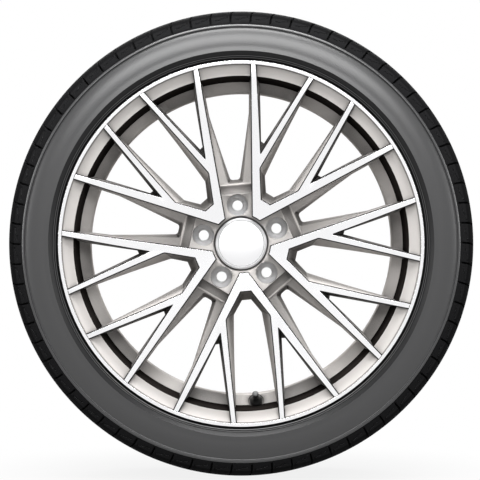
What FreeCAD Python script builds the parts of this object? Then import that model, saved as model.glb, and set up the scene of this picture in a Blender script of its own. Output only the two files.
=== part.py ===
import FreeCAD, Part
import math
import os

import Sketcher

# Car road wheel: a low-profile radial tyre on a five-by-four spoke cast alloy wheel, with its
# snap-in valve and clip-in centre cap. Millimetres and degrees. The origin is the wheel's centre,
# +Y is the spin axis pointing inboard, so the styled face looks along -Y, and +Z is up.
# "Radial" sizes are measured from the spin axis, "axial" sizes along Y.

SIZES = (
    # Rim
    ("rim_width", 215.9, "between the two flange faces"),
    ("bead_seat_diameter", 487.4, "bead seat at the flange heel"),
    ("flange_height", 17.5, "flange above the bead seat"),
    ("flange_thickness", 12, "axial thickness of a flange at its lip"),
    ("flange_lip_width", 5.5, "axial width of the lip's crown"),
    ("flange_heel_height", 7.3, "upright part of the flange above the bead seat"),
    ("seat_width", 19.95, "axial width of a bead seat"),
    ("seat_fall", 1.5, "fall of the bead seat over its width"),
    ("well_radius_drop", 17.7, "drop from bead seat to the well's floor"),
    ("well_start", 38, "axial distance from the outboard flange face to the well's floor"),
    ("well_floor_width", 36, "axial width of the well's floor"),
    ("ledge_rise", 10, "rise from the well's floor to the flat ledge inboard of it"),
    ("ledge_slope", 16, "axial length of that rise"),
    ("barrel_wall", 7, "wall of the barrel under the well"),
    ("seat_wall", 6.4, "wall of the barrel under the bead seats"),
    ("lip_face_width", 4.4, "machined front face of the outboard lip"),
    ("lip_chamfer", 2.3, "radial width of the lip's inner chamfer"),
    ("lip_chamfer_depth", 1.5, "axial depth of the lip's inner chamfer"),
    ("dish_fall", 7.5, "axial depth of the dished band behind the lip"),
    ("dish_inner_gap", 3.5, "dished band's inner edge inside the bead seat radius"),
    ("wall_top_gap", 10.7, "top of the front-facing wall inside the bead seat radius"),
    ("wall_top_depth", 36, "axial depth of the wall's top behind the lip face"),
    ("wall_fall", 8.5, "axial fall of the front-facing wall"),
    # Spoked disc
    ("offset", 38, "mounting face outboard of the rim's centre plane"),
    ("bore_diameter", 66.6, "hub centring bore"),
    ("mounting_face_diameter", 150, "hub mounting face"),
    ("mounting_face_step", 4, "spoke back set in from the mounting face"),
    ("spoke_back_rim_axial", 73, "spoke back at the rim, outboard of the centre plane"),
    ("face_hub_axial", 101, "machined face at the hub, outboard of the centre plane"),
    ("face_hub_radius", 43, "inner end of the machined face"),
    ("face_step", 0.3, "machined face set back from the lip face at the rim"),
    ("pad_axial", 88, "bolt pads, outboard of the centre plane"),
    ("pad_outer_radius", 72, "outer edge of a bolt pad"),
    ("tip_draft", 1.2, "radial draft of the spoke tips down to the pad"),
    ("recess_radius", 40.3, "mouth of the cap recess"),
    ("recess_chamfer", 4, "axial depth of the recess's chamfer"),
    ("cap_seat_axial", 83.5, "shoulder that carries the cap, outboard of the centre plane"),
    ("cap_socket_diameter", 70, "socket for the cap's clips"),
    ("cap_socket_depth", 15, "depth of that socket behind the shoulder"),
    ("spoke_count", 5, "repeats of the spoke pattern"),
    ("window_face_level", 110, "level at which the windows' front outlines are given"),
    ("window_back_level", 60, "level at which the windows' back outlines are given"),
    ("cut_overrun", 10, "cuts run this far past the faces that they open"),
    ("window_overrun", 14, "windows run this far past the rim's lip radius"),
    # Kite window between the inner spokes
    ("kite_root_half", 8.1, "front half width at the root"),
    ("kite_root_radius", 66.5, "front root radius"),
    ("kite_knee_half", 33.2, "front half width at the knee"),
    ("kite_knee_radius", 106.4, "front knee radius"),
    ("kite_rim_half", 30.9, "front half width at the rim"),
    ("kite_root_half_back", 7, "back half width at the root"),
    ("kite_root_radius_back", 78.5, "back root radius"),
    ("kite_knee_half_back", 23, "back half width at the knee"),
    ("kite_knee_radius_back", 103.3, "back knee radius"),
    ("kite_rim_half_back", 29.8, "back half width at the rim"),
    ("kite_knee_round", 8, "rounding of the knee"),
    # Slim window that splits each arm
    ("slim_root_inner", 40.8, "front, inner corner of the root, across"),
    ("slim_root_inner_radius", 123.7, "front, inner corner of the root, along"),
    ("slim_root_outer", 42.6, "front, outer corner of the root, across"),
    ("slim_root_outer_radius", 124.9, "front, outer corner of the root, along"),
    ("slim_rim_inner", 38.1, "front, inner side at the rim"),
    ("slim_rim_outer", 123.0, "front, outer side at the rim, across"),
    ("slim_rim_outer_radius", 249.1, "front, outer side at the rim, along"),
    ("slim_root_inner_back", 45.5, "back, inner corner of the root, across"),
    ("slim_root_inner_radius_back", 141.5, "back, inner corner of the root, along"),
    ("slim_root_outer_back", 50.5, "back, outer corner of the root, across"),
    ("slim_root_outer_radius_back", 142, "back, outer corner of the root, along"),
    ("slim_rim_inner_back", 42.2, "back, inner side at the rim"),
    ("slim_rim_outer_back", 121.2, "back, outer side at the rim, across"),
    ("slim_rim_outer_radius_back", 260, "back, outer side at the rim, along"),
    # Bolt sector between two arms
    ("arm_edge_hub_half", 20.8, "half distance between two arms at the hub"),
    ("arm_edge_hub_radius", 43, "where that distance is given"),
    ("arm_edge_rim_half", 38.2, "half distance between two arms at the rim"),
    ("arm_edge_rim_radius", 250, "where that distance is given"),
    ("arm_draft", 4.6, "draft angle of the arms' outer walls"),
    ("web_axial", 78, "floor of the webs beside the arms, outboard of the centre plane"),
    ("web_start_radius", 87, "foot of the slope from the pad to the webs"),
    ("bolt_window_front_level", 80, "level of the bolt window's front outline"),
    ("bolt_window_back_level", 55, "level of the bolt window's back outline"),
    ("bolt_window_root_half", 11.5, "front half width at the root"),
    ("bolt_window_root_radius", 87.5, "front root radius"),
    ("bolt_window_waist_half", 29.6, "front half width where the web ends"),
    ("bolt_window_waist_radius", 184, "radius where the web ends"),
    ("bolt_window_rim_half", 37, "front half width at the rim"),
    ("bolt_window_root_half_back", 8, "back half width at the root"),
    ("bolt_window_root_radius_back", 92, "back root radius"),
    ("bolt_window_waist_half_back", 28, "back half width where the web ends"),
    ("bolt_window_waist_radius_back", 190, "back radius where the web ends"),
    ("bolt_window_rim_half_back", 35, "back half width at the rim"),
    ("bolt_window_round", 4.5, "rounding of the root corners"),
    # Bolt holes
    ("bolt_circle_diameter", 112, "bolt circle"),
    ("bolt_hole_diameter", 15, "bolt hole"),
    ("bolt_pocket_diameter", 31, "pocket for the bolt head"),
    ("bolt_pocket_floor_axial", 62, "pocket floor, outboard of the centre plane"),
    ("bolt_seat_diameter", 23, "mouth of the conical bolt seat"),
    ("bolt_seat_depth", 6.9, "depth of the conical bolt seat"),
    # Lightening pockets in the hub's back
    ("hub_pocket_inner_radius", 43, "inner edge"),
    ("hub_pocket_outer_radius", 64, "outer edge"),
    ("hub_pocket_inner_half", 7, "half width at the inner edge"),
    ("hub_pocket_outer_half", 14, "half width at the outer edge"),
    ("hub_pocket_depth", 30, "depth from the mounting face"),
    ("hub_pocket_round", 4, "corner rounding"),
    # Turn of the wheel as it stands
    ("clocking", 185.4, "turn about the spin axis from valve up"),
    # Tyre
    ("tyre_diameter", 678.6, "overall diameter"),
    ("section_width", 248, "overall section width"),
    ("tread_width", 186, "tread between its shoulder edges"),
    ("middle_rib_drop", 0.9, "middle ribs below the crown"),
    ("shoulder_rib_drop", 2.8, "shoulder ribs below the crown at the outer grooves"),
    ("shoulder_edge_drop", 6, "shoulder ribs below the crown at the tread's edge"),
    ("shoulder_mid_drop", 15, "second shoulder edge below the crown"),
    ("shoulder_mid_inset", 12, "second shoulder edge inside the section width"),
    ("shoulder_end_drop", 28, "end of the shoulder below the crown"),
    ("bead_fit", 0.2, "clearance between tyre bead and rim"),
    ("bead_width", 19.7, "bead base width"),
    ("protector_crest", 10.8, "crest of the rim protector above the flange"),
    ("protector_end", 15.6, "outer edge of the rim protector above the flange"),
    ("protector_proud", 2, "crest of the rim protector beyond the section width"),
    ("protector_step", 1.6, "flat of the sidewall inside the section width"),
    ("liner_mid_height", 36, "widest point of the liner above the flange"),
    ("sidewall_thickness", 10.5, "sidewall at the liner's widest point"),
    ("crown_thickness", 17, "casing and tread at the crown"),
    ("liner_corner_inset", 29, "liner's crown corner inside the section width"),
    ("centre_groove_axial", 18, "inner grooves from the centre plane"),
    ("outer_groove_axial", 57, "outer grooves from the centre plane"),
    ("groove_width", 10, "width of a tread groove at the surface"),
    ("groove_floor_width", 6.5, "width of a tread groove at its floor"),
    ("groove_depth", 7.5, "depth of a tread groove"),
    ("slot_count", 70, "shoulder slots on each side"),
    ("slot_angle", 0.75, "width of a shoulder slot about the axis"),
    ("slot_floor_drop", 9.5, "floor of a shoulder slot below the crown"),
    ("slot_bend_axial", 94, "where the slot's floor turns down the shoulder"),
    ("slot_end_drop", 28.6, "outer end of a shoulder slot below the crown"),
    # Valve, measured along its own axis from its seat on the rim
    ("valve_wall_radius", 228.5, "where the valve's axis meets the front-facing wall"),
    ("valve_tilt", 31.3, "valve axis from the spin axis"),
    ("valve_spot_depth", 3.4, "depth of the spot face in the wall"),
    ("valve_spot_diameter", 23, "diameter of the spot faces"),
    ("valve_rim_wall", 4.2, "rim wall left at the valve"),
    ("valve_hole_diameter", 11.5, "valve hole"),
    ("valve_fit", 0.05, "clearance between valve and rim"),
    ("valve_foot_diameter", 19, "rubber foot inside the tyre"),
    ("valve_foot_height", 3, "thickness of the rubber foot"),
    ("valve_bell_diameter", 18, "rubber bell outside the rim"),
    ("valve_bell_height", 8, "height of the bell's widest part"),
    ("valve_rubber_top_diameter", 9.2, "top of the rubber"),
    ("valve_rubber_height", 16.5, "height of the rubber"),
    ("tube_diameter", 5.6, "brass tube inside the rubber"),
    ("tube_fit", 0.03, "clearance between brass and rubber"),
    ("tube_thread_diameter", 7.7, "cap thread on the brass tube"),
    ("tube_thread_start", 16.7, "start of the cap thread"),
    ("tube_height", 24.5, "top of the brass tube"),
    ("tube_bore_diameter", 4.4, "air way"),
    ("core_diameter", 5.2, "core housing"),
    ("core_start", 13.4, "inner end of the core housing"),
    ("core_height", 23.6, "outer end of the core housing"),
    ("core_fit", 0.03, "clearance between core housing and tube"),
    ("core_bore_diameter", 3.8, "spring chamber in the core housing"),
    ("core_floor", 0.7, "floor of the spring chamber"),
    ("pin_diameter", 1.6, "valve pin"),
    ("pin_fit", 0.05, "clearance of the pin in the housing's floor"),
    ("pin_height", 23.9, "top of the valve pin"),
    ("pin_seal_diameter", 3.6, "seal cup on the pin"),
    ("pin_seal_height", 1.2, "thickness of the seal cup"),
    ("pin_collar_diameter", 3.4, "collar that takes the spring"),
    ("pin_collar_start", 19.4, "inner face of the collar"),
    ("pin_collar_height", 0.8, "thickness of the collar"),
    ("spring_wire", 0.36, "spring wire"),
    ("spring_diameter", 2.6, "spring, middle of the wire"),
    ("spring_turns", 3.5, "turns of the spring"),
    ("cap_thread_fit", 0.08, "clearance between cap and thread"),
    ("cap_start", 16.9, "mouth of the valve cap"),
    ("cap_height", 28, "top of the valve cap"),
    ("cap_diameter", 9.4, "valve cap"),
    ("cap_top_chamfer", 1, "edge of the cap's top"),
    ("seal_height", 0.9, "rubber seal in the valve cap"),
    ("seal_fit", 0.05, "clearance of the seal in the cap and on the tube"),
    # Centre cap
    ("centre_cap_diameter", 74, "centre cap"),
    ("centre_cap_fit", 0.9, "gap round the centre cap"),
    ("centre_cap_edge", 4.8, "height of the cap's cylindrical edge"),
    ("centre_cap_bevel", 2.2, "bevel of the cap's edge"),
    ("centre_cap_bevel_rise", 1.3, "axial rise of that bevel"),
    ("centre_cap_wall", 2.4, "thickness of the cap's face"),
    ("centre_cap_seat_fit", 0.1, "clearance of the cap on its shoulder"),
    ("clip_fit", 0.4, "clearance of the clip ring in its socket"),
    ("clip_wall", 2, "thickness of the clips"),
    ("clip_length", 13, "length of the clips behind the shoulder"),
    ("clip_hook", 1.1, "hook on each clip beyond the socket"),
    ("clip_hook_start", 5.2, "hook's first face behind the shoulder"),
    ("clip_hook_width", 3, "axial width of the hook"),
    ("clip_groove_room", 0.6, "room round the hook in the socket's groove"),
    ("clip_slot_width", 6, "slots between the clips"),
    ("clip_slot_count", 3, "straight cuts across the clip ring, two slots each"),
)

doc = FreeCAD.newDocument("alloy_wheel_with_tyre")
dim = doc.addObject("Spreadsheet::Sheet", "dim")
for row, (alias, number, meaning) in enumerate(SIZES, start=1):
    dim.set(f"A{row}", alias)
    dim.set(f"B{row}", str(number))
    dim.setAlias(f"B{row}", alias)
    dim.set(f"C{row}", meaning)
doc.recompute()


def value(expression):
    """Number that an expression on the sheet gives."""
    return float(dim.evalExpression(expression))


def origin_feature(body, role):
    """Origin plane or axis of a body."""
    return next(item for item in body.Origin.OriginFeatures if item.Role == role)


def new_body(name):
    """Body of one piece, turned about the spin axis as the wheel stands."""
    body = doc.addObject("PartDesign::Body", name)
    body.Label = name
    body.Placement = FreeCAD.Placement(FreeCAD.Vector(), FreeCAD.Rotation(FreeCAD.Vector(0, -1, 0), 1))
    body.setExpression("Placement.Rotation.Angle", "dim.clocking")
    return body


def new_sketch(body, name, plane, offset=None):
    """Sketch on an origin plane of the body, moved along the plane's normal by an expression."""
    sketch = body.newObject("Sketcher::SketchObject", name)
    sketch.AttachmentSupport = [(origin_feature(body, plane), "")]
    sketch.MapMode = "FlatFace"
    if offset:
        sketch.setExpression("AttachmentOffset.Base.z", offset)
    return sketch


def bind(sketch, constraint, expression):
    """Add a constraint and tie its size to an expression."""
    index = sketch.addConstraint(constraint)
    sketch.setExpression(f"Constraints[{index}]", expression)


def pin_point(sketch, geometry, position, x, y):
    """Fix a point of the sketch at two expressions."""
    bind(sketch, Sketcher.Constraint("DistanceX", -1, 1, geometry, position, value(x)), x)
    bind(sketch, Sketcher.Constraint("DistanceY", -1, 1, geometry, position, value(y)), y)


def rounding(before, corner, after, radius):
    """Start, middle and end of the arc that rounds a corner."""
    back = (before - corner).normalize()
    ahead = (after - corner).normalize()
    half = back.getAngle(ahead) / 2
    reach = radius / math.tan(half)
    bisector = (back + ahead).normalize()
    centre_distance = (reach ** 2 + radius ** 2) ** 0.5
    return corner + back * reach, corner + bisector * (centre_distance - radius), corner + ahead * reach


def draw_outline(sketch, corners):
    """Closed loop through corners given as expressions (x, y) or, rounded, (x, y, radius)."""
    points = [FreeCAD.Vector(value(corner[0]), value(corner[1]), 0) for corner in corners]
    count = len(points)
    arcs = {}
    for index, corner in enumerate(corners):
        if len(corner) == 3:
            after = points[(index + 1) % count]
            arcs[index] = rounding(points[index - 1], points[index], after, value(corner[2]))
    edges = []
    for index in range(count):
        after = (index + 1) % count
        start = arcs[index][2] if index in arcs else points[index]
        end = arcs[after][0] if after in arcs else points[after]
        edges.append(sketch.addGeometry(Part.LineSegment(start, end), False))
    for index, corner in enumerate(corners):
        before, edge = edges[index - 1], edges[index]
        if index not in arcs:
            sketch.addConstraint(Sketcher.Constraint("Coincident", before, 2, edge, 1))
            pin_point(sketch, edge, 1, corner[0], corner[1])
            continue
        arc = sketch.addGeometry(Part.Arc(*arcs[index]), False)
        forward = sketch.getPoint(arc, 1).isEqual(arcs[index][0], 1e-6)
        arc_start, arc_end = (1, 2) if forward else (2, 1)
        sketch.addConstraint(Sketcher.Constraint("Tangent", before, 2, arc, arc_start))
        sketch.addConstraint(Sketcher.Constraint("Tangent", arc, arc_end, edge, 1))
        bind(sketch, Sketcher.Constraint("Radius", arc, value(corner[2])), corner[2])
        apex = sketch.addGeometry(Part.Point(points[index]), True)
        sketch.addConstraint(Sketcher.Constraint("PointOnObject", apex, 1, before))
        sketch.addConstraint(Sketcher.Constraint("PointOnObject", apex, 1, edge))
        pin_point(sketch, apex, 1, corner[0], corner[1])
    doc.recompute()
    return sketch


def mirrored_outline(right_side):
    """Full outline from its right half, listed from the bottom to the top."""
    left_side = [(f"-({corner[0]})",) + tuple(corner[1:]) for corner in reversed(right_side)]
    return list(right_side) + left_side


def revolve(body, name, sketch, axis=None, cut=False, angle=None):
    """Turn a sketch about the spin axis, or about an axis of the sketch."""
    feature = body.newObject("PartDesign::Groove" if cut else "PartDesign::Revolution", name)
    feature.Profile = sketch
    feature.ReferenceAxis = (sketch, [axis]) if axis else (origin_feature(body, "Y_Axis"), [""])
    feature.Angle = 360
    if angle:
        feature.Midplane = True
        feature.setExpression("Angle", angle)
    doc.recompute()
    return feature


def loft_cut(body, name, first, second):
    """Cut a straight-sided loft between two sketches."""
    feature = body.newObject("PartDesign::SubtractiveLoft", name)
    feature.Profile = first
    feature.Sections = [second]
    feature.Ruled = True
    doc.recompute()
    return feature


def polar_pattern(body, name, features, count, angle=360):
    """Repeat features about the spin axis, over an angle."""
    pattern = body.newObject("PartDesign::PolarPattern", name)
    pattern.Originals = features
    pattern.Axis = (origin_feature(body, "Y_Axis"), [""])
    pattern.Angle = angle
    pattern.setExpression("Occurrences", count)
    body.Tip = pattern
    doc.recompute()
    return pattern


# Shared levels and radii, as expressions on the sheet

FLANGE_RADIUS = "(dim.bead_seat_diameter / 2 + dim.flange_height)"
SEAT_RADIUS = "(dim.bead_seat_diameter / 2)"
FLANGE_FACE = "(dim.rim_width / 2)"
LIP_FACE = "(dim.rim_width / 2 + dim.flange_thickness)"
WELL_RADIUS = "(dim.bead_seat_diameter / 2 - dim.well_radius_drop)"
LIP_INNER_RADIUS = f"({FLANGE_RADIUS} - dim.lip_face_width)"
WALL_TOP_RADIUS = f"({SEAT_RADIUS} - dim.wall_top_gap)"
WALL_TOP = f"({LIP_FACE} - dim.wall_top_depth)"
WALL_FOOT_RADIUS = f"({WELL_RADIUS} - dim.barrel_wall)"
WALL_FOOT = f"({WALL_TOP} - dim.wall_fall)"
RIM_REACH = f"({FLANGE_RADIUS} + dim.window_overrun)"
FRONT_PLANE = f"({LIP_FACE} + dim.cut_overrun)"
BACK_PLANE = "(dim.offset - dim.cut_overrun)"


def outboard(points):
    """Rim or tyre points with their axial size turned to the outboard side."""
    return [(radius, f"-({axial})") for radius, axial in points]


def build_tyre():
    """Tyre: one moulded casing with its tread grooves and shoulder slots."""
    body = new_body("tyre")
    crown = "(dim.tyre_diameter / 2)"
    half = "(dim.section_width / 2)"
    side = [
        (f"{SEAT_RADIUS} - dim.seat_fall + dim.bead_fit", f"{FLANGE_FACE} - dim.bead_width"),
        (f"{SEAT_RADIUS} + dim.bead_fit", f"{FLANGE_FACE} - dim.bead_fit"),
        (f"{SEAT_RADIUS} + dim.flange_heel_height", f"{FLANGE_FACE} - dim.bead_fit"),
        (f"{FLANGE_RADIUS} + dim.bead_fit", f"{LIP_FACE} - dim.flange_lip_width - dim.bead_fit"),
        (f"{FLANGE_RADIUS} + dim.protector_crest", f"{half} + dim.protector_proud"),
        (f"{FLANGE_RADIUS} + dim.protector_end", f"{half} - dim.protector_step"),
        (f"{crown} - dim.shoulder_end_drop", f"{half} - dim.protector_step"),
        (f"{crown} - dim.shoulder_mid_drop", f"{half} - dim.shoulder_mid_inset"),
        (f"{crown} - dim.shoulder_edge_drop", "dim.tread_width / 2"),
        (f"{crown} - dim.shoulder_rib_drop", "dim.outer_groove_axial"),
        (f"{crown} - dim.middle_rib_drop", "dim.outer_groove_axial"),
        (f"{crown} - dim.middle_rib_drop", "dim.centre_groove_axial"),
        (crown, "dim.centre_groove_axial"),
    ]
    liner = [
        (f"{FLANGE_RADIUS} + dim.liner_mid_height", f"{half} - dim.sidewall_thickness"),
        (f"{crown} - dim.crown_thickness", f"{half} - dim.liner_corner_inset"),
    ]
    section = new_sketch(body, "casing_section", "XY_Plane")
    draw_outline(section, outboard(side) + side[::-1] + liner + outboard(liner[::-1]))
    revolve(body, "casing", section)

    grooves = new_sketch(body, "groove_sections", "XY_Plane")
    floor_half = "dim.groove_floor_width / 2"
    top_half = "(dim.groove_width - dim.groove_floor_width / 2)"
    for axial, rib_drop in (("dim.centre_groove_axial", "0"), ("dim.outer_groove_axial", "dim.middle_rib_drop")):
        for sign in ("", "-"):
            floor = f"{crown} - {rib_drop} - dim.groove_depth"
            top = f"{crown} - {rib_drop} + dim.groove_depth"
            draw_outline(grooves, [
                (floor, f"{sign}{axial} - {floor_half}"),
                (top, f"{sign}{axial} - {top_half}"),
                (top, f"{sign}{axial} + {top_half}"),
                (floor, f"{sign}{axial} + {floor_half}"),
            ])
    revolve(body, "tread_grooves", grooves, cut=True)

    slots = new_sketch(body, "slot_sections", "XY_Plane")
    above = f"{crown} + dim.cut_overrun"
    for sign in ("", "-"):
        draw_outline(slots, [
            (f"{crown} - dim.slot_floor_drop", f"{sign}(dim.slot_bend_axial)"),
            (f"{crown} - dim.slot_floor_drop", f"{sign}(dim.outer_groove_axial)"),
            (above, f"{sign}(dim.outer_groove_axial)"),
            (above, f"{sign}({half})"),
            (f"{crown} - dim.slot_end_drop", f"{sign}({half})"),
        ])
    slot = revolve(body, "shoulder_slots", slots, cut=True, angle="dim.slot_angle")
    polar_pattern(body, "slot_pattern", [slot], "dim.slot_count")
    return body


def at_level(front, back, level, front_level, back_level):
    """Size of a tapering window at a level, from its sizes at two named levels."""
    return f"{front} + ({back} - {front}) * ({front_level} - {level}) / ({front_level} - {back_level})"


def window_cut(body, name, corners, front_level, back_level, start, end):
    """Tapering window from corners (front x, front z, back x, back z), with an optional rounding."""
    profiles = []
    for label, level in (("front", start), ("back", end)):
        sketch = new_sketch(body, f"{name}_{label}", "XZ_Plane", level)
        outline = []
        for corner in corners:
            across = at_level(corner[0], corner[2], level, front_level, back_level)
            along = at_level(corner[1], corner[3], level, front_level, back_level)
            outline.append((across, along) + tuple(corner[4:]))
        profiles.append(draw_outline(sketch, outline))
    return loft_cut(body, name, *profiles)


def across(corners, sign):
    """Window corners on the left (-1) or right (1) of the spoke pattern's axis."""
    return [(f"{sign} * {c[0]}", c[1], f"{sign} * {c[2]}", c[3]) + tuple(c[4:]) for c in corners]


def kite_window(body):
    """Wide window between the two inner spokes of one pattern."""
    right = [
        ("dim.kite_root_half", "dim.kite_root_radius", "dim.kite_root_half_back", "dim.kite_root_radius_back"),
        ("dim.kite_knee_half", "dim.kite_knee_radius", "dim.kite_knee_half_back", "dim.kite_knee_radius_back",
         "dim.kite_knee_round"),
        ("dim.kite_rim_half", RIM_REACH, "dim.kite_rim_half_back", RIM_REACH),
    ]
    corners = across(right, 1) + across(right[::-1], -1)
    return window_cut(body, "kite_window", corners, "dim.window_face_level", "dim.window_back_level",
                      FRONT_PLANE, BACK_PLANE)


def slim_window(body, name, sign):
    """Narrow window that splits one arm in two towards the rim."""
    corners = [
        ("dim.slim_root_inner", "dim.slim_root_inner_radius",
         "dim.slim_root_inner_back", "dim.slim_root_inner_radius_back"),
        ("dim.slim_root_outer", "dim.slim_root_outer_radius",
         "dim.slim_root_outer_back", "dim.slim_root_outer_radius_back"),
        ("dim.slim_rim_outer", "dim.slim_rim_outer_radius",
         "dim.slim_rim_outer_back", "dim.slim_rim_outer_radius_back"),
        ("dim.slim_rim_inner", RIM_REACH, "dim.slim_rim_inner_back", RIM_REACH),
    ]
    return window_cut(body, name, across(corners, sign), "dim.window_face_level", "dim.window_back_level",
                      FRONT_PLANE, BACK_PLANE)


def arm_edge(radius, level):
    """Half distance between two arms at a radius and a level, on their drafted walls."""
    share = f"(({radius}) - dim.arm_edge_hub_radius) / (dim.arm_edge_rim_radius - dim.arm_edge_hub_radius)"
    half = f"(dim.arm_edge_hub_half + (dim.arm_edge_rim_half - dim.arm_edge_hub_half) * {share})"
    face = f"(dim.face_hub_axial + ({LIP_FACE} - dim.face_step - dim.face_hub_axial) * {share})"
    return f"{half} - tan(dim.arm_draft) * ({face} - {level})"


def bolt_recess(body):
    """Recess down to the bolt pad, between two arms."""
    inner = "dim.recess_radius / 2"
    profiles = []
    for label, level in (("floor", "dim.pad_axial"), ("mouth", FRONT_PLANE)):
        sketch = new_sketch(body, f"bolt_recess_{label}", "XZ_Plane", level)
        right = [
            (arm_edge("dim.pad_outer_radius", level), "-dim.pad_outer_radius"),
            (arm_edge(inner, level), f"-{inner}"),
        ]
        profiles.append(draw_outline(sketch, mirrored_outline(right)))
    return loft_cut(body, "bolt_recess", *profiles)


def web_scoop(body):
    """Space above the webs: from the pad's edge down a slope and out to the rim."""
    slope = "(dim.web_start_radius - dim.pad_outer_radius) / (dim.pad_axial - dim.web_axial)"
    profiles = []
    for label, level in (("floor", "dim.web_axial"), ("mouth", FRONT_PLANE)):
        sketch = new_sketch(body, f"web_scoop_{label}", "XZ_Plane", level)
        start = f"dim.web_start_radius - ({level} - dim.web_axial) * {slope}"
        right = [
            (arm_edge(RIM_REACH, level), f"-{RIM_REACH}"),
            (arm_edge(start, level), f"-({start})"),
        ]
        profiles.append(draw_outline(sketch, mirrored_outline(right)))
    return loft_cut(body, "web_scoop", *profiles)


def bolt_window(body):
    """Window outside a bolt pad, between the webs."""
    right = [
        ("dim.bolt_window_rim_half", f"-{RIM_REACH}", "dim.bolt_window_rim_half_back", f"-{RIM_REACH}"),
        ("dim.bolt_window_waist_half", "-dim.bolt_window_waist_radius",
         "dim.bolt_window_waist_half_back", "-dim.bolt_window_waist_radius_back"),
        ("dim.bolt_window_root_half", "-dim.bolt_window_root_radius",
         "dim.bolt_window_root_half_back", "-dim.bolt_window_root_radius_back", "dim.bolt_window_round"),
    ]
    corners = across(right, 1) + across(right[::-1], -1)
    return window_cut(body, "bolt_window", corners, "dim.bolt_window_front_level", "dim.bolt_window_back_level",
                      "(dim.web_axial + dim.cut_overrun / 2)", BACK_PLANE)


def bolt_hole(body):
    """Pocket, conical seat and clearance hole for one bolt."""
    sketch = new_sketch(body, "bolt_hole_section", "YZ_Plane")
    sketch.setExpression("AttachmentOffset.Base.y", "-dim.bolt_circle_diameter / 2")
    pocket = "dim.bolt_pocket_floor_axial"
    draw_outline(sketch, [
        (f"-{FRONT_PLANE}", "0"),
        (f"-{BACK_PLANE}", "0"),
        (f"-{BACK_PLANE}", "dim.bolt_hole_diameter / 2"),
        (f"-({pocket} - dim.bolt_seat_depth)", "dim.bolt_hole_diameter / 2"),
        (f"-{pocket}", "dim.bolt_seat_diameter / 2"),
        (f"-{pocket}", "dim.bolt_pocket_diameter / 2"),
        (f"-{FRONT_PLANE}", "dim.bolt_pocket_diameter / 2"),
    ])
    return revolve(body, "bolt_hole", sketch, axis="H_Axis", cut=True)


def hub_pocket(body):
    """Lightening pocket in the hub's back, between two bolts."""
    sketch = new_sketch(body, "hub_pocket_outline", "XZ_Plane", "dim.offset")
    draw_outline(sketch, mirrored_outline([
        ("dim.hub_pocket_inner_half", "dim.hub_pocket_inner_radius", "dim.hub_pocket_round"),
        ("dim.hub_pocket_outer_half", "dim.hub_pocket_outer_radius", "dim.hub_pocket_round"),
    ]))
    pocket = body.newObject("PartDesign::Pocket", "hub_pocket")
    pocket.Profile = sketch
    pocket.setExpression("Length", "dim.hub_pocket_depth")
    pocket.Reversed = True
    doc.recompute()
    return pocket


def valve_sketch(body, name):
    """Sketch along the valve's axis: x outwards from the valve's seat, y away from the axis."""
    sketch = new_sketch(body, name, "YZ_Plane")
    along = f"({WALL_TOP_RADIUS} - dim.valve_wall_radius) / ({WALL_TOP_RADIUS} - {WALL_FOOT_RADIUS})"
    wall = f"({WALL_TOP} - dim.wall_fall * {along})"
    sketch.setExpression("AttachmentOffset.Base.x", f"-{wall} + dim.valve_spot_depth * cos(dim.valve_tilt)")
    sketch.setExpression("AttachmentOffset.Base.y",
                         "dim.valve_wall_radius + dim.valve_spot_depth * sin(dim.valve_tilt)")
    sketch.setExpression("AttachmentOffset.Rotation.Angle", "180 + dim.valve_tilt")
    return sketch


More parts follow.
